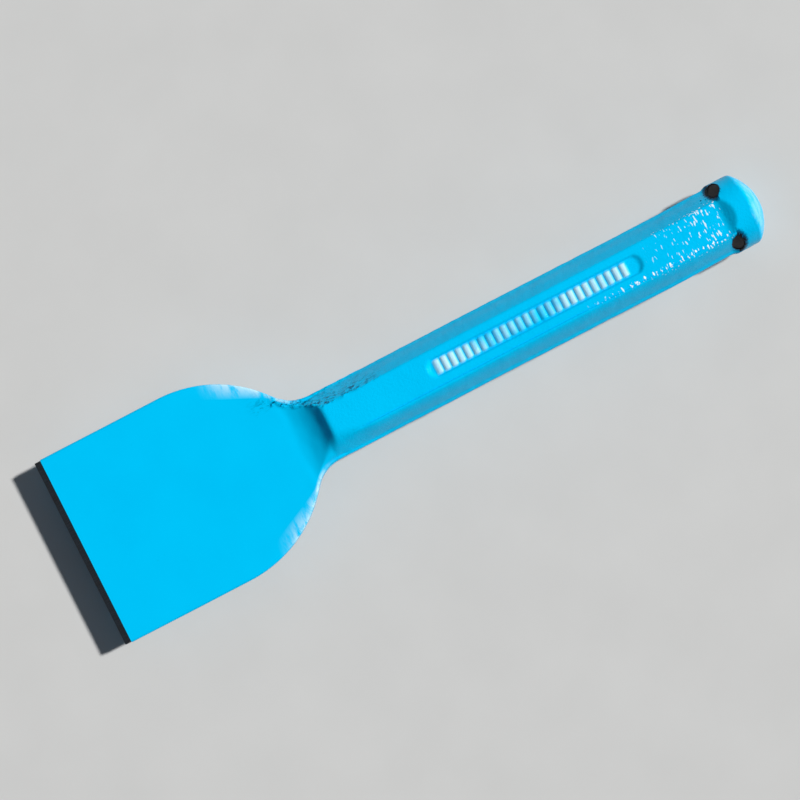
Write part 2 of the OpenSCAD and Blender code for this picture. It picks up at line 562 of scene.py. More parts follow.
    def section_point(self, spoke: Spoke, station: Station, g: float) -> tuple[float, float]:
        """Place one vertex of the skin in its section.

        Args:
            spoke: Lengthwise line that the vertex lies on.
            station: Ring that the vertex lies on.
            g: Growth outside the bare steel.

        Returns:
            The place across the tool and the height above the parting plane.
        """
        start = self.runout_start
        s = min(station.s, start)
        ridge, foot, side, edge = self.corners(s, g)
        share = spoke.share
        y = {
            Zone.FLAT: ridge * share,
            Zone.FACET: ridge + (foot - ridge) * share,
            Zone.LEDGE: foot + (side - edge - foot) * share,
            Zone.ROUND: side - edge + edge * math.sin(share * math.pi / 2.0),
            Zone.WALL: side,
        }[spoke.zone]
        over = max(y - side + edge, 0.0)
        h = self.height(s, y, g, spoke.side) - edge + math.sqrt(max(edge**2 - over**2, 0.0))
        h += self.swell(spoke) * smoothstep(self.ramp_edge_s, self.ramp_edge_s + self.swell_lead, s)
        if spoke.zone is Zone.WALL:
            h *= 1.0 - share
        if spoke.zone is Zone.FLAT and spoke.half > 0:
            h -= self.panel_drop(s, y, g)
        if station.s > start:
            out = station.s - start
            curved = min(out, self.runout_soft)
            rise = self.runout_slope * (curved**2 / (2.0 * self.runout_soft) + out - curved)
            radius = math.hypot(y, h)
            grown = radius * (1.0 + rise / self.shank_half_h)
            soft = min(self.rim_soft, self.rim_ease * out)
            limit = soft_min(grown, self.head_radius(station.s, g), soft)
            y, h = y * limit / radius, h * limit / radius
        return y * station.shrink * spoke.side + self.lean(station.s), h * station.shrink * spoke.half

    def lean(self, s: float) -> float:
        """Distance by which the upset head stands off the shank's line, towards +Y."""
        return self.head_lean * smoothstep(self.lean_from, self.lean_to, s)

    def head_radius(self, s: float, g: float) -> float:
        """Find the radius of the head's barrel and dome.

        Args:
            s: Distance from the cutting edge.
            g: Growth outside the bare steel.

        Returns:
            The radius.
        """
        dome = math.sqrt(max((self.dome_r + g) ** 2 - (s - self.dome_s) ** 2, 0.0))
        return soft_min(self.head_r + g, dome, self.rim_soft)


@dataclass(frozen=True)
class Stretch:
    """Part of the tool's length along which a mark comes in and dies away again, in millimetres."""

    start: float
    full: float
    fading: float
    end: float

    def share(self, s: float) -> float:
        """Find how strongly the mark shows at a distance along the tool, from 0 to 1."""
        return smoothstep(self.start, self.full, s) * smoothstep(self.end, self.fading, s)


@dataclass(frozen=True)
class SkinMarks:
    """What forging, dipping and use have left on the skin, and the glints and highlights painted on it, with
    sizes and heights in millimetres.
    """

    shape: ForgingShape

    laps: Stretch = Stretch(66.0, 78.0, 96.0, 118.0)
    lap_inside: float = 0.9
    lap_crest: float = 0.3
    lap_thins: tuple[float, float] = (1.0, 3.2)
    lap_left: float = 0.3

    # Painted highlight: white flecks painted on the enamel where the key light's glints would show
    glint_depth: float = 1.0
    glint_top: Stretch = Stretch(196.0, 204.0, 226.0, 228.0)
    glint_ridge: Stretch = Stretch(172.0, 196.0, 226.0, 228.0)
    glint_ridge_in: float = 0.4
    glint_ridge_width: tuple[float, float] = (0.5, 1.5)
    glint_least: float = 0.45
    glint_more: float = 0.3
    glint_thickens: tuple[float, float] = (206.0, 224.0)

    # Pale rounded edges at the shoulders: partly rubbed paint, partly painted highlight
    edge_rub_and_highlight_stretch: Stretch = Stretch(56.0, 66.0, 76.0, 86.0)
    edge_rub_and_highlight_width: tuple[float, float] = (0.5, 1.6)
    edge_rub_and_highlight_height: tuple[float, float] = (1.0, 2.2)

    # Pale tops of the raised bars: partly rubbed paint, partly painted highlight
    pale_bar_margin: float = 0.4
    pale_bar_from: float = 0.25
    pale_bar_short: float = 0.1

    shank: tuple[float, float] = (76.0, 90.0)
    flank: tuple[float, float] = (4.0, 8.0)
    foot: Stretch = Stretch(70.0, 78.0, 84.0, 92.0)
    head: tuple[float, float] = (230.0, 236.0)
    wave: float = 24.0
    wave_h: tuple[float, float] = (0.04, 0.06)
    grain: float = 3.2
    grain_h: tuple[float, float] = (0.03, 0.05)
    pit: float = 1.5
    pit_h: float = 0.05
    fold: float = 3.0
    fold_h: float = 0.75
    swirl: tuple[float, float, float] = (3.0, 4.0, 9.0)
    swirl_h: float = 0.10
    dent: float = 4.5
    dent_h: float = 0.07

    def lap(self, s: float, y: float, h: float) -> float:
        """Find how strongly the cold laps mark a place: they lie along the +Y ridge near the neck.

        Args:
            s: Distance from the cutting edge.
            y: Place across the tool.
            h: Height above the parting plane.

        Returns:
            The share, from 0 to 1.
        """
        if y <= 0.0 or h <= 0.0:
            return 0.0
        past = y - self.shape.corners(max(s, self.shape.ramp_start), self.shape.film)[0]
        thinned = 1.0 - (1.0 - self.lap_left) * smoothstep(*self.lap_thins, past)
        return self.laps.share(s) * (smoothstep(-self.lap_inside, self.lap_crest, past) * thinned)

    def painted_glint(self, s: float, y: float, h: float) -> float:
        """Find how thickly painted white glints lie on the enamel: on the top flat by the head and along its
        ridge.

        Args:
            s: Distance from the cutting edge.
            y: Place across the tool.
            h: Height above the parting plane.

        Returns:
            The share, from 0 to 1.
        """
        if h < self.shape.shank_half_h - self.glint_depth:
            return 0.0
        top = self.glint_top.share(s) * (self.glint_least + self.glint_more * smoothstep(*self.glint_thickens, s))
        narrow, wide = self.glint_ridge_width
        off = abs(y + self.shape.flat_half - self.glint_ridge_in)
        return max(top, self.glint_ridge.share(s) * smoothstep(wide, narrow, off))

    def edge_rub_and_highlight(self, s: float, y: float, h: float) -> float:
        """Find how far the rounded edge of the shoulders and hollows is painted pale, as rubbed paint and
        painted highlight.

        Args:
            s: Distance from the cutting edge.
            y: Place across the tool.
            h: Height above the parting plane.

        Returns:
            The share, from 0 to 1.
        """
        narrow, wide = self.edge_rub_and_highlight_width
        across = smoothstep(wide, narrow, self.shape.half_width(s, self.shape.film) - abs(y))
        return self.edge_rub_and_highlight_stretch.share(s) * across * smoothstep(*self.edge_rub_and_highlight_height, h)

    def raised(self, s: float, y: float, h: float) -> float:
        """Find whether a place is on top of one of the raised bars in the panel.

        Args:
            s: Distance from the cutting edge.
            y: Place across the tool.
            h: Height above the parting plane.

        Returns:
            1 on a bar, falling to 0 beside it.
        """
        shape = self.shape
        bars = (s - shape.panel_start - shape.bar_inset) / shape.bar_pitch
        beside = abs(y) > shape.bar_half_len + self.pale_bar_margin
        if h <= 0.0 or beside or not -0.5 < bars < shape.bar_count - 0.5:
            return 0.0
        floor = shape.shank_half_h + shape.film - shape.panel_depth
        return smoothstep(floor + self.pale_bar_from, floor + shape.bar_h - self.pale_bar_short, h)

    def relief(self, s: float, y: float, h: float) -> float:
        """Find how far the hammered surface stands out at a place: waves, scale pits, cold laps and dents.

        Args:
            s: Distance from the cutting edge.
            y: Place across the tool.
            h: Height above the parting plane.

        Returns:
            The distance outwards.
        """
        place = Vector((s, y, h))
        shank = smoothstep(*self.shank, s)
        flank = smoothstep(*self.flank, abs(y)) * shank
        drawn = Vector([part / size for part, size in zip((s, y, h), self.swirl)])
        layers = (
            noise.noise(place / self.wave) * (self.wave_h[0] + self.wave_h[1] * shank),
            noise.noise(place / self.grain) * (self.grain_h[0] * shank + self.grain_h[1] * flank),
            noise.noise(place / self.pit) * self.pit_h * flank,
            (noise.turbulence(place / self.fold, 3, True) - 0.5) * self.fold_h * self.lap(s, y, h),
            noise.noise(drawn) * self.swirl_h * self.foot.share(s),
            noise.noise(place / self.dent) * self.dent_h * smoothstep(*self.head, s),
        )
        return sum(layers)


@dataclass
class ForgedSkin:
    """The outer skin of the forging as a mesh in the tool's own frame."""

    shape: ForgingShape
    marks: SkinMarks
    edge_x: float
    parting_z: float

    def place(self, s: float, y: float, h: float) -> Vector:
        """Turn a place on the forging, in millimetres, into the tool's own frame, in metres."""
        return Vector((self.edge_x + s * MM, y * MM, self.parting_z + h * MM))

    def locate(self, at: Vector) -> tuple[float, float, float]:
        """Turn a place in the tool's own frame back into s, y and h, in millimetres."""
        return (at.x - self.edge_x) / MM, at.y / MM, (at.z - self.parting_z) / MM

    def build(self, g: float, first: float) -> bmesh.types.BMesh:
        """Roll a grid round the forging, weld it into a tube that is closed at the head, and hammer it.

        Args:
            g: Growth outside the bare steel.
            first: Distance from the cutting edge at which the skin begins.

        Returns:
            The skin, open at its first ring.
        """
        rings = self.shape.stations(g, first)
        spokes = self.shape.spoke_ring
        bm = bmesh.new()
        bmesh.ops.create_grid(bm, x_segments=len(rings) - 1, y_segments=len(spokes), size=0.5)
        for vert in bm.verts:
            ring = rings[round((vert.co.x + 0.5) * (len(rings) - 1))]
            spoke = spokes[round((vert.co.y + 0.5) * len(spokes)) % len(spokes)]
            vert.co = self.place(ring.s, *self.shape.section_point(spoke, ring, g))
        bmesh.ops.remove_doubles(bm, verts=bm.verts, dist=WELD)
        bmesh.ops.recalc_face_normals(bm, faces=bm.faces)
        bm.normal_update()
        lifts = [vert.normal * self.marks.relief(*self.locate(vert.co)) * MM for vert in bm.verts]
        for vert, lift in zip(bm.verts, lifts):
            vert.co += lift
        return bm


# ---- Finishes ---------------------------------------------------------------------------------------------


def add(tree: bpy.types.NodeTree, kind: str, inputs: dict | None = None, **settings) -> bpy.types.Node:
    """Add a node with its settings and links.

    Args:
        tree: Node tree to add to.
        kind: Type name of the node.
        inputs: Values or output sockets for its inputs, by name or number.
        **settings: Properties of the node itself.

    Returns:
        The new node.
    """
    node = tree.nodes.new(kind)
    for name, value in settings.items():
        setattr(node, name, value)
    for key, value in (inputs or {}).items():
        if isinstance(value, bpy.types.NodeSocket):
            tree.links.new(value, node.inputs[key])
        else:
            node.inputs[key].default_value = value
    return node


def start_material(name: str) -> tuple[bpy.types.Material, bpy.types.NodeTree]:
    """Start an empty node material.

    Args:
        name: Name of the material.

    Returns:
        The material and its node tree.
    """
    material = bpy.data.materials.new(name)
    material.use_nodes = True
    material.node_tree.nodes.clear()
    return material, material.node_tree


@dataclass(frozen=True)
class GlossEnamel:
    """Gloss enamel, dipped over the raw forging and air dried.

    It gives a clear saturated blue with a faint orange peel, the forging's own grain showing through on
    the shank, painted white glints near the head, pitted cold laps along one ridge, pale patches on the
    struck end, the raised bars and the shoulders that are partly rubbed paint and partly painted highlight,
    and a thin frayed edge round the bare spots. Its reflections are weaker and bluer than a clear gloss
    would give, so that the blue stays deep on the sloping facets.
    """

    edge_x: float
    blue: str = "00C4F5"
    deep_blue: str = "00BCEF"
    reflection: str = "3CC4FF"
    # Pale tone for rubbed paint that also serves as painted highlight, and white for the painted glints
    pale_wear_and_highlight: str = "B9E2F2"
    glint_white: str = "F2FAFD"
    thin: str = "00456B"
    soot: str = "14181C"
    cloud: float = 16.0 * MM
    peel: float = 1.9 * MM
    grain: float = 0.8 * MM
    painted_glint: float = 0.7 * MM
    lap: float = 0.9 * MM
    rub_and_highlight: float = 2.4 * MM
    struck_from: float = 232.0 * MM
    struck_to: float = 237.5 * MM
    neck_from: float = 78.0 * MM
    neck_to: float = 94.0 * MM
    struck_wear_and_highlight_level: float = 0.5
    painted_glint_gain: float = 0.14
    roughness: tuple[float, float] = (0.10, 0.17)
    specular: float = 0.1

    def build(self) -> bpy.types.Material:
        """Build the material.

        Returns:
            The material.
        """
        material, tree = start_material("gloss_enamel_blue")
        place = add(tree, "ShaderNodeTexCoord").outputs["Object"]
        x = add(tree, "ShaderNodeSeparateXYZ", {0: place}).outputs["X"]
        inputs = {"Vector": place, "Scale": (1.0, 0.32, 1.0)}
        drawn = add(tree, "ShaderNodeMapping", inputs).outputs["Vector"]
        inputs = {"Vector": place, "Scale": (0.5, 1.0, 1.0)}
        drawn_long = add(tree, "ShaderNodeMapping", inputs).outputs["Vector"]

        # Mark maps that the piece carries, and clouds of a real size laid over it
        at = {
            name: add(tree, "ShaderNodeAttribute", attribute_name=name).outputs["Fac"]
            for name in ("bare_margin", "cold_laps", "painted_glint_mask", "edge_rubs_and_highlights", "raised_bars")
        }
        clouds = {
            "cloud": (place, self.cloud, 3.0, 0.5),
            "peel": (place, self.peel, 1.0, 0.5),
            "grain": (place, self.grain, 4.0, 0.65),
            "painted_glint": (drawn, self.painted_glint, 1.0, 0.5),
            "lap": (drawn_long, self.lap, 4.0, 0.7),
            "rub_and_highlight": (drawn, self.rub_and_highlight, 6.0, 0.65),
        }
        for name, (vector, size, detail, roughness) in clouds.items():
            inputs = {"Vector": vector, "Scale": 1.0 / size, "Detail": detail, "Roughness": roughness}
            at[name] = add(tree, "ShaderNodeTexNoise", inputs).outputs["Fac"]

        # Shares that ease from 0 to 1 between two levels of a map, each then thinned by a second map
        stretches = {
            "struck": (self.struck_from, self.struck_to),
            "shank": (self.neck_from, self.neck_to),
        }
        for name, (low, high) in stretches.items():
            inputs = {"Value": x, "From Min": self.edge_x + low, "From Max": self.edge_x + high}
            at[name] = add(tree, "ShaderNodeMapRange", inputs, interpolation_type="SMOOTHSTEP").outputs[0]
        # The struck end is painted pale: partly worn paint, partly painted highlight
        worn = {0: at["struck"], 1: self.struck_wear_and_highlight_level, 2: at["rub_and_highlight"]}
        at["worn"] = add(tree, "ShaderNodeMath", worn, operation="MULTIPLY_ADD").outputs[0]
        painted_glint_field = {0: at["painted_glint_mask"], 1: self.painted_glint_gain, 2: at["painted_glint"]}
        at["painted_glint_field"] = add(tree, "ShaderNodeMath", painted_glint_field, operation="MULTIPLY_ADD").outputs[0]
        frayed = {0: at["bare_margin"], 1: at["grain"]}
        at["frayed"] = add(tree, "ShaderNodeMath", frayed, operation="ADD").outputs[0]
        shares = {
            # The struck end, the bars' tops and the shoulders' edges are painted pale: partly rubbed paint,
            # partly painted highlight
            "struck_wear_and_highlight": ("worn", 0.82, 1.12, 0.36),
            "thinned": ("frayed", 0.62, 1.20, 0.85),
            "bared": ("frayed", 1.28, 1.44, 1.0),
            # The flecks are painted white glints, a painted highlight
            "painted_glint_flecks": ("painted_glint_field", 0.71, 0.76, "painted_glint_mask"),
            "pits": ("lap", 0.50, 0.62, "cold_laps"),
            # Bar tops painted pale, partly rubbed paint and partly painted highlight
            "bar_wear_and_highlight": ("cloud", 0.30, 0.60, "raised_bars"),
            # Shoulder edges painted pale, partly rubbed paint and partly painted highlight
            "edge_wear_and_highlight": ("rub_and_highlight", 0.36, 0.60, "edge_rubs_and_highlights"),
        }
        for name, (source, low, high, thinner) in shares.items():
            inputs = {"Value": at[source], "From Min": low, "From Max": high}
            eased = add(tree, "ShaderNodeMapRange", inputs, interpolation_type="SMOOTHSTEP").outputs[0]
            inputs = {0: eased, 1: at.get(thinner, thinner)}
            at[name] = add(tree, "ShaderNodeMath", inputs, operation="MULTIPLY").outputs[0]

        colour = {0: at["cloud"], 6: linear(self.deep_blue), 7: linear(self.blue)}
        colour = add(tree, "ShaderNodeMix", colour, data_type="RGBA").outputs[2]
        coats = (
            ("pits", self.thin),
            ("painted_glint_flecks", self.glint_white),
            ("bar_wear_and_highlight", self.pale_wear_and_highlight),
            ("edge_wear_and_highlight", self.pale_wear_and_highlight),
            ("struck_wear_and_highlight", self.pale_wear_and_highlight),
            ("thinned", self.thin),
            ("bared", self.soot),
        )
        for name, tone in coats:
            inputs = {0: at[name], 6: colour, 7: linear(tone)}
            colour = add(tree, "ShaderNodeMix", inputs, data_type="RGBA").outputs[2]

        inputs = {"Value": at["cloud"], "To Min": self.roughness[0], "To Max": self.roughness[1]}
        rough = add(tree, "ShaderNodeMapRange", inputs).outputs[0]
        for name, added in (("struck_wear_and_highlight", 0.5), ("painted_glint_flecks", 0.3), ("bared", 0.35)):
            inputs = {0: at[name], 1: added, 2: rough}
            rough = add(tree, "ShaderNodeMath", inputs, operation="MULTIPLY_ADD", use_clamp=True).outputs[0]

        grown = {0: at["grain"], 1: at["shank"]}
        at["grown"] = add(tree, "ShaderNodeMath", grown, operation="MULTIPLY").outputs[0]
        pitted = {0: at["lap"], 1: at["cold_laps"]}
        at["pitted"] = add(tree, "ShaderNodeMath", pitted, operation="MULTIPLY").outputs[0]
        relief = (
            ("peel", 0.25, 0.03 * MM),
            ("grown", 0.6, 0.20 * MM),
            ("painted_glint_flecks", 0.8, 0.08 * MM),
            ("pitted", 1.0, 0.45 * MM),
            ("struck_wear_and_highlight", 0.5, 0.08 * MM),
        )
        bump: dict = {}
        for name, strength, distance in relief:
            inputs = {"Height": at[name], "Strength": strength, "Distance": distance} | bump
            bump = {"Normal": add(tree, "ShaderNodeBump", inputs).outputs["Normal"]}
        inputs = {
            "Base Color": colour,
            "Roughness": rough,
            "IOR": 1.5,
            "Specular IOR Level": self.specular,
            "Specular Tint": linear(self.reflection),
        } | bump
        shader = add(tree, "ShaderNodeBsdfPrincipled", inputs)
        add(tree, "ShaderNodeOutputMaterial", {"Surface": shader.outputs["BSDF"]})
        return material


@dataclass(frozen=True)
class ForgeScale:
    """Forge scale, the black oxide that hot steel leaves the dies with.

    It gives the bare spots a dull near-black skin, blotched a little browner, with a gritty surface.
    """

    black: str = "1C1D22"
    brown: str = "38302F"
    blotch: float = 1.6 * MM
    grit: float = 0.5 * MM

    def build(self) -> bpy.types.Material:
        """Build the material.

        Returns:
            The material.
        """
        material, tree = start_material("forge_scale")
        place = add(tree, "ShaderNodeTexCoord").outputs["Object"]
        inputs = {"Vector": place, "Scale": 1.0 / self.blotch, "Detail": 5.0, "Roughness": 0.6}
        blotch = add(tree, "ShaderNodeTexNoise", inputs).outputs["Fac"]
        inputs = {"Vector": place, "Scale": 1.0 / self.grit, "Detail": 3.0, "Roughness": 0.7}
        grit = add(tree, "ShaderNodeTexNoise", inputs).outputs["Fac"]
        inputs = {"Value": blotch, "From Min": 0.42, "From Max": 0.68}
        level = add(tree, "ShaderNodeMapRange", inputs).outputs[0]
        colour = {0: level, 6: linear(self.black), 7: linear(self.brown)}
        inputs = {
            "Base Color": add(tree, "ShaderNodeMix", colour, data_type="RGBA").outputs[2],
            "Metallic": 0.35,
            "Roughness": add(
                tree, "ShaderNodeMapRange", {"Value": blotch, "To Min": 0.45, "To Max": 0.75}
            ).outputs[0],
            "Normal": add(
                tree, "ShaderNodeBump", {"Height": grit, "Strength": 0.6, "Distance": 0.08 * MM}
            ).outputs["Normal"],
        }
        shader = add(tree, "ShaderNodeBsdfPrincipled", inputs)
        add(tree, "ShaderNodeOutputMaterial", {"Surface": shader.outputs["BSDF"]})
        return material


@dataclass(frozen=True)
class GroundSteel:
    """Carbon steel, ground on a belt after the dipping and left bare.

    It gives the cutting edge a dark grey metal with fine grinding lines square to the edge, dulled by a
    thin brown bloom. The lines are drawn a little coarser than real grit leaves them, so that they show.
    """

    bright: str = "8A8F93"
    dull: str = "4A4C4E"
    bloom: str = "5A4A3E"
    line: float = 0.35 * MM
    patch: float = 5.0 * MM

    def build(self) -> bpy.types.Material:
        """Build the material.

        Returns:
            The material.
        """
        material, tree = start_material("ground_carbon_steel")
        place = add(tree, "ShaderNodeTexCoord").outputs["Object"]
        inputs = {"Vector": place, "Scale": (0.05, 1.0, 0.05)}
        drawn = add(tree, "ShaderNodeMapping", inputs).outputs["Vector"]
        inputs = {"Vector": drawn, "Scale": 1.0 / self.line, "Detail": 3.0, "Roughness": 0.7}
        lines = add(tree, "ShaderNodeTexNoise", inputs).outputs["Fac"]
        inputs = {"Vector": place, "Scale": 1.0 / self.patch, "Detail": 4.0}
        patch = add(tree, "ShaderNodeTexNoise", inputs).outputs["Fac"]
        inputs = {"Value": patch, "From Min": 0.5, "From Max": 0.75, "To Max": 0.5}
        bloomed = add(tree, "ShaderNodeMapRange", inputs).outputs[0]
        inputs = {0: lines, 6: linear(self.dull), 7: linear(self.bright)}
        metal = add(tree, "ShaderNodeMix", inputs, data_type="RGBA").outputs[2]
        inputs = {0: bloomed, 6: metal, 7: linear(self.bloom)}
        inputs = {
            "Base Color": add(tree, "ShaderNodeMix", inputs, data_type="RGBA").outputs[2],
            "Metallic": 1.0,
            "Roughness": add(
                tree, "ShaderNodeMapRange", {"Value": patch, "To Min": 0.30, "To Max": 0.5}
            ).outputs[0],
            "Normal": add(
                tree, "ShaderNodeBump", {"Height": lines, "Strength": 0.5, "Distance": 0.03 * MM}
            ).outputs["Normal"],
        }
        shader = add(tree, "ShaderNodeBsdfPrincipled", inputs)
        add(tree, "ShaderNodeOutputMaterial", {"Surface": shader.outputs["BSDF"]})
        return material


@dataclass(frozen=True)
class PaleFloor:
    """Pale rendered floor: plain, dull and very slightly mottled, so that it sets off the tool."""

    pale: str = "CBCAC7"
    shade: str = "C2C1BE"
    mottle: float = 30.0 * MM

    def build(self) -> bpy.types.Material:
        """Build the material.

        Returns:
            The material.
        """
        material, tree = start_material("pale_render")
        place = add(tree, "ShaderNodeTexCoord").outputs["Object"]
        inputs = {"Vector": place, "Scale": 1.0 / self.mottle, "Detail": 6.0}
        mottle = add(tree, "ShaderNodeTexNoise", inputs).outputs["Fac"]
        inputs = {0: mottle, 6: linear(self.shade), 7: linear(self.pale)}
        colour = add(tree, "ShaderNodeMix", inputs, data_type="RGBA").outputs[2]
        shader = add(tree, "ShaderNodeBsdfPrincipled", {"Base Color": colour, "Roughness": 0.8})
        add(tree, "ShaderNodeOutputMaterial", {"Surface": shader.outputs["BSDF"]})
        return material


# ---- The two pieces ---------------------------------------------------------------------------------------


def finish_piece(bm: bmesh.types.BMesh, name: str, crease: float) -> bpy.types.Object:
    """Turn a finished bmesh into an object that is smooth but for its creases.

    Args:
        bm: Mesh of the piece. It is freed.
        name: Name of the piece.
        crease: Angle in degrees above which an edge is sharp.

    Returns:
        The object, linked to the scene.
    """
    mesh = bpy.data.meshes.new(name)
    bm.to_mesh(mesh)
    bm.free()
    mesh.shade_smooth()
    mesh.set_sharp_from_angle(angle=math.radians(crease))
    piece = bpy.data.objects.new(name, mesh)
    bpy.context.scene.collection.objects.link(piece)
    return piece


@dataclass
class SteelForging:
    """The bare forging: ground along its cutting edge, and black with scale wherever the film leaves it."""

    skin: ForgedSkin
    crease: float = 24.0

    def build(self) -> bpy.types.Object:
        """Build and dress the forging.

        Returns:
            The piece.
        """
        bm = self.skin.build(g=0.0, first=0.0)
        bmesh.ops.holes_fill(bm, edges=[edge for edge in bm.edges if edge.is_boundary])
        bmesh.ops.recalc_face_normals(bm, faces=bm.faces)
        ground_end = self.skin.place(self.skin.shape.bevel_len, 0.0, 0.0).x
        for face in bm.faces:
            face.material_index = 1 if face.calc_center_median().x > ground_end else 0
        piece = finish_piece(bm, "forging", self.crease)
        piece.data.materials.append(GroundSteel().build())
        piece.data.materials.append(ForgeScale().build())
        return piece


@dataclass
class BareSpots:
    """The patches on the run-outs of the sloping facets where the dip did not take."""

    skin: ForgedSkin
    half_len: float = 2.0
    half_across: float = 3.9
    far_lead: float = 0.2
    near_lead: float = 0.7
    depth: float = 1.0
    block_h: float = 4.0
    segments: int = 56
    pinhole_segments: int = 10
    ripple: float = 2.2
    ragged: float = 0.15
    blunt: float = 0.86
    blunt_from: float = -0.8
    shank_fade: float = 0.9
    head_fade: float = 0.12
    pinholes: tuple[tuple[float, float, float], ...] = (
        (-3.6, -1.4, 0.34),
        (-4.9, -0.4, 0.42),
        (-5.4, -2.0, 0.26),
        (-2.9, 1.9, 0.24),
    )

    def middle_s(self, side: int) -> float:
        """Find how far the middles of one side's spots lie from the cutting edge.

        Args:
            side: 1 for the +Y side, -1 for the other.

        Returns:
            The distance.
        """
        shape = self.skin.shape
        lead = self.far_lead if side > 0 else self.near_lead
        return shape.steel_len + shape.film - shape.runout_back - lead + self.half_len

    def turn(self, side: int, half: int) -> Matrix:
        """Find the frame of one facet: along the tool, across the facet and out of it.

        Args:
            side: 1 for the facets on the +Y side, -1 for those on the other.
            half: 1 for the upper facets, -1 for the lower ones.

        Returns:
            The facet's frame about the middle of its spot, in the tool's own frame.
        """
        shape = self.skin.shape
        slope = shape.corner_angle
        middle_s = self.middle_s(side)
        out = Vector((0.0, side * math.sin(slope), half * math.cos(slope)))
        across = Vector((0.0, side * math.cos(slope), -half * math.sin(slope)))
        along = across.cross(out)
        y = side * (shape.flat_half + shape.shank_half_w) / 2.0 + shape.lean(middle_s)
        h = half * (shape.shank_half_h + shape.side_half) / 2.0
        frame_axes = Matrix((along, across, out)).transposed().to_4x4()
        frame_axes.translation = self.skin.place(middle_s, y, h)
        return frame_axes

    def reach(self, angle: float, seed: float) -> float:
        """Find how far a spot's ragged outline stands from its middle, in shares of its half sizes.

        Args:
            angle: Direction in the facet, from the length of the tool.
            seed: Place in the noise that makes each spot's outline its own.

        Returns:
            The reach in that direction.
        """
        ripple = noise.noise(Vector((math.cos(angle) * self.ripple, math.sin(angle) * self.ripple, seed)))
        blunt = 1.0 - (1.0 - self.blunt) * smoothstep(0.0, self.blunt_from, math.cos(angle))
        return blunt * (1.0 + self.ragged * ripple)

    def raise_block(self, bm: bmesh.types.BMesh, verts: list[bmesh.types.BMVert], frame_axes: Matrix) -> None:
        """Raise a flat outline into a block that stands through the film, and turn it onto its facet.

        Args:
            bm: Mesh that holds the outline.
            verts: Vertices of the outline.
            frame_axes: The facet's frame.
        """
        bmesh.ops.translate(bm, verts=verts, vec=(0.0, 0.0, -self.depth * MM))
        faces = list({face for vert in verts for face in vert.link_faces})
        grown = bmesh.ops.extrude_face_region(bm, geom=faces)
        top = [item for item in grown["geom"] if isinstance(item, bmesh.types.BMVert)]
        bmesh.ops.translate(bm, verts=top, vec=(0.0, 0.0, self.block_h * MM))
        bmesh.ops.transform(bm, matrix=frame_axes, verts=verts + top)

    def cutter(self) -> bpy.types.Object:
        """Make the tool that opens the film: one ragged block over each spot.

        Returns:
            The cutter, for use in a Boolean modifier.
        """
        bm = bmesh.new()
        for side in (1, -1):
            for half in (1, -1):
                # Far enough apart in the noise to give each spot an outline of its own
                seed = 3.7 * side + 1.9 * half
                made = bmesh.ops.create_circle(bm, cap_ends=True, segments=self.segments, radius=1.0)
                for vert in made["verts"]:
                    reach = self.reach(math.atan2(vert.co.y, vert.co.x), seed) * MM
                    vert.co.x *= self.half_len * reach
                    vert.co.y *= self.half_across * reach
                self.raise_block(bm, made["verts"], self.turn(side, half))
        for along, across, radius in self.pinholes:
            sides = self.pinhole_segments
            made = bmesh.ops.create_circle(bm, cap_ends=True, segments=sides, radius=radius * MM)
            bmesh.ops.translate(bm, verts=made["verts"], vec=(along * MM, across * MM, 0.0))
            self.raise_block(bm, made["verts"], self.turn(1, 1))
        bmesh.ops.recalc_face_normals(bm, faces=bm.faces)
        return finish_piece(bm, "spot_cutter", 30.0)

    def margin(self, at: Vector) -> float:
        """Find how strongly the scale shows through the thin film round the spots at a place.

        Args:
            at: Place in the tool's own frame.

        Returns:
            1 at a spot's outline, falling to 0 a little way outside it.
        """
        s, y, h = self.skin.locate(at)
        local = self.turn(1 if y > 0 else -1, 1 if h > 0 else -1).inverted() @ at / MM
        far = math.hypot(local.x / self.half_len, local.y / self.half_across)
        fade = self.shank_fade if local.x < 0 else self.head_fade
        return smoothstep(1.0 + fade, 1.0, far)


@dataclass
class EnamelCoat:
    """The film of enamel, a thin closed shell over the forging, open over its bare spots."""

    skin: ForgedSkin
    crease: float = 50.0

    def build(self) -> bpy.types.Object:
        """Build and dress the film.

        Returns:
            The piece.
        """
        shape, marks = self.skin.shape, self.skin.marks
        bm = self.skin.build(g=shape.film, first=shape.bevel_len)
        bmesh.ops.solidify(bm, geom=bm.faces[:], thickness=shape.film * MM)
        shell = finish_piece(bm, "enamel_shell", self.crease)
        spots = BareSpots(self.skin)
        cutter = spots.cutter()
        cut = shell.modifiers.new("open_spots", "BOOLEAN")
        cut.operation = "DIFFERENCE"
        cut.solver = "EXACT"
        cut.object = cutter
        depsgraph = bpy.context.evaluated_depsgraph_get()
        mesh = bpy.data.meshes.new_from_object(shell.evaluated_get(depsgraph), depsgraph=depsgraph)
        for used in (shell, cutter):
            bpy.data.objects.remove(used)
        piece = bpy.data.objects.new("enamel_film", mesh)
        bpy.context.scene.collection.objects.link(piece)
        mesh.shade_smooth()
        mesh.set_sharp_from_angle(angle=math.radians(self.crease))
        places = [self.skin.locate(vert.co) for vert in mesh.vertices]
        # Maps of where the glints and the pale marks of rubbed paint and painted highlight are painted on the
        # film
        maps = {
            "bare_margin": [spots.margin(vert.co) for vert in mesh.vertices],
            "cold_laps": [marks.lap(*place) for place in places],
            "painted_glint_mask": [marks.painted_glint(*place) for place in places],
            "edge_rubs_and_highlights": [marks.edge_rub_and_highlight(*place) for place in places],
            "raised_bars": [marks.raised(*place) for place in places],
        }
        for name, values in maps.items():
            mesh.attributes.new(name, "FLOAT", "POINT").data.foreach_set("value", values)
        mesh.materials.clear()
        mesh.materials.append(GlossEnamel(edge_x=self.skin.edge_x).build())
        return piece


# ---- The studio -------------------------------------------------------------------------------------------


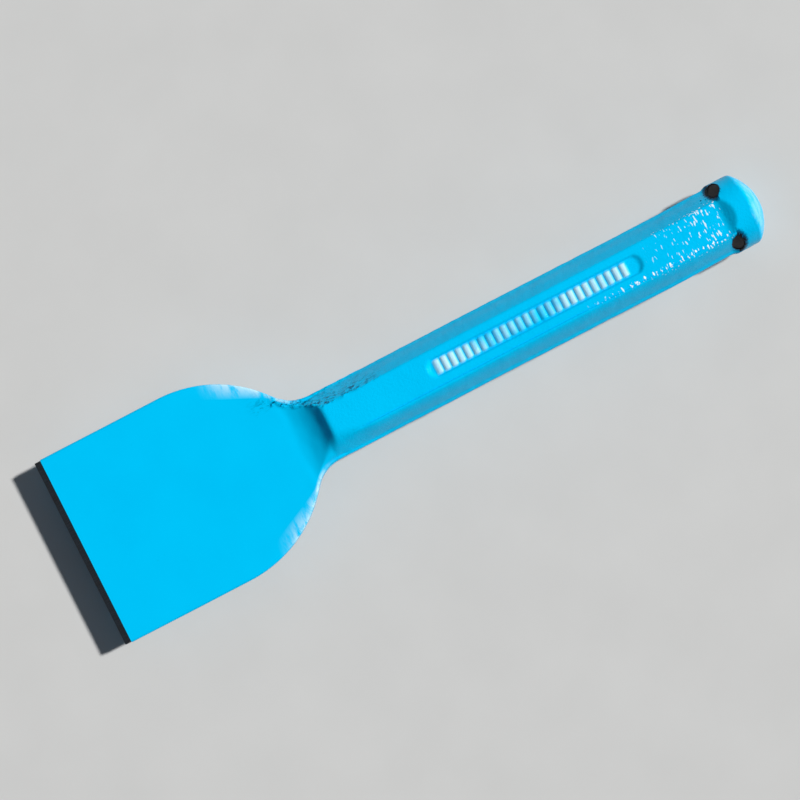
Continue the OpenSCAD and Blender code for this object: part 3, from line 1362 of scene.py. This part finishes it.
@dataclass
class Studio:
    """A plain pale floor, a soft key light with a fill, and the camera.

    Lengths are in metres and angles in degrees. The roll turns the tool across the frame, and the tilt and
    lean take the camera off the vertical.
    """

    floor_size: float = 24.0
    key_from: tuple[float, float, float] = (0.68, -0.03, 0.73)
    key_strength: float = 4.1
    key_angle: float = 4.0
    fill_from: tuple[float, float, float] = (0.3, 0.2, 0.93)
    fill_strength: float = 0.12
    fill_angle: float = 70.0
    sky: str = "C4DEFF"
    sky_strength: float = 0.09
    backdrop: str = "D5D7D8"
    aim: tuple[float, float, float] = (-0.0086, -0.0033, 0.0119)
    roll: float = 27.38
    tilt: float = 2.85
    lean: float = 1.13
    distance: float = 0.524
    field_of_view: float = 27.09

    def floor(self) -> bpy.types.Object:
        """Lay the floor under the tool.

        Returns:
            The floor.
        """
        bm = bmesh.new()
        bmesh.ops.create_grid(bm, x_segments=1, y_segments=1, size=self.floor_size / 2.0)
        floor = finish_piece(bm, "floor", 30.0)
        floor.data.materials.append(PaleFloor().build())
        return floor

    def light(self, name: str, source: tuple[float, float, float], strength: float, angle: float) -> None:
        """Hang one distant light.

        Args:
            name: Name of the light.
            source: Direction from the tool to the light.
            strength: Strength of the light.
            angle: Width of the light as seen from the tool, in degrees.
        """
        lamp = bpy.data.lights.new(name, "SUN")
        lamp.energy = strength
        lamp.angle = math.radians(angle)
        holder = bpy.data.objects.new(name, lamp)
        holder.rotation_euler = Vector(source).to_track_quat("Z", "Y").to_euler()
        bpy.context.scene.collection.objects.link(holder)

    def surround(self) -> None:
        """Set the even light that comes from all round, behind it a pale backdrop that lights nothing."""
        world = bpy.data.worlds.new("soft_surround")
        world.use_nodes = True
        tree = world.node_tree
        tree.nodes.clear()
        seen = add(tree, "ShaderNodeLightPath").outputs["Is Camera Ray"]
        soft = add(tree, "ShaderNodeBackground", {"Color": linear(self.sky), "Strength": self.sky_strength})
        pale = add(tree, "ShaderNodeBackground", {"Color": linear(self.backdrop)})
        mixed = add(tree, "ShaderNodeMixShader", {0: seen, 1: soft.outputs[0], 2: pale.outputs[0]})
        add(tree, "ShaderNodeOutputWorld", {"Surface": mixed.outputs[0]})
        bpy.context.scene.world = world

    def camera(self) -> None:
        """Set up the camera, nearly overhead, with the tool lying across the frame."""
        turn, tilt, lean = (math.radians(angle) for angle in (self.roll, self.tilt, self.lean))
        upwards = Vector((math.sin(turn), math.cos(turn), 0.0))
        rightwards = Vector((math.cos(turn), -math.sin(turn), 0.0))
        back = Vector((0.0, 0.0, 1.0)) - upwards * math.tan(tilt) + rightwards * math.tan(lean)
        back.normalize()
        across = upwards.cross(back).normalized()
        pose = Matrix((across, back.cross(across), back)).transposed().to_4x4()
        pose.translation = Vector(self.aim) + back * self.distance
        data = bpy.data.cameras.new("camera")
        data.angle = math.radians(self.field_of_view)
        data.clip_start = 0.01
        camera = bpy.data.objects.new("camera", data)
        camera.matrix_world = pose
        bpy.context.scene.collection.objects.link(camera)
        bpy.context.scene.camera = camera

    def build(self) -> bpy.types.Object:
        """Set up the whole studio.

        Returns:
            The floor.
        """
        self.light("key", self.key_from, self.key_strength, self.key_angle)
        self.light("fill", self.fill_from, self.fill_strength, self.fill_angle)
        self.surround()
        self.camera()
        bpy.context.scene.view_settings.view_transform = "Standard"
        return self.floor()


def main() -> None:
    """Build the studio and the two pieces in order, and report each of them."""
    logging.basicConfig(level=logging.INFO, format="%(name)s: %(message)s")
    Studio().build()

    steel_low, steel_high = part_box("forged_body")
    film_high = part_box("enamel_coat")[1]
    shape = ForgingShape(
        steel_len=(steel_high.x - steel_low.x) / MM,
        blade_half=steel_high.y / MM,
        head_r=(steel_high.z - steel_low.z) / 2.0 / MM,
        film=(film_high.x - steel_high.x) / MM,
    )
    parting_z = (steel_low.z + steel_high.z) / 2.0
    skin = ForgedSkin(shape, SkinMarks(shape), edge_x=steel_low.x, parting_z=parting_z)
    pieces = (
        (SteelForging(skin), "forged_body", "forged_steel"),
        (EnamelCoat(skin), "enamel_coat", "blue_enamel"),
    )
    for maker, node, slot in pieces:
        piece = maker.build()
        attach(piece, "root")
        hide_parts(node)
        log.info("%s: %d faces, in place of %s", piece.name, len(piece.data.polygons), node)


if __name__ == "__main__":
    main()
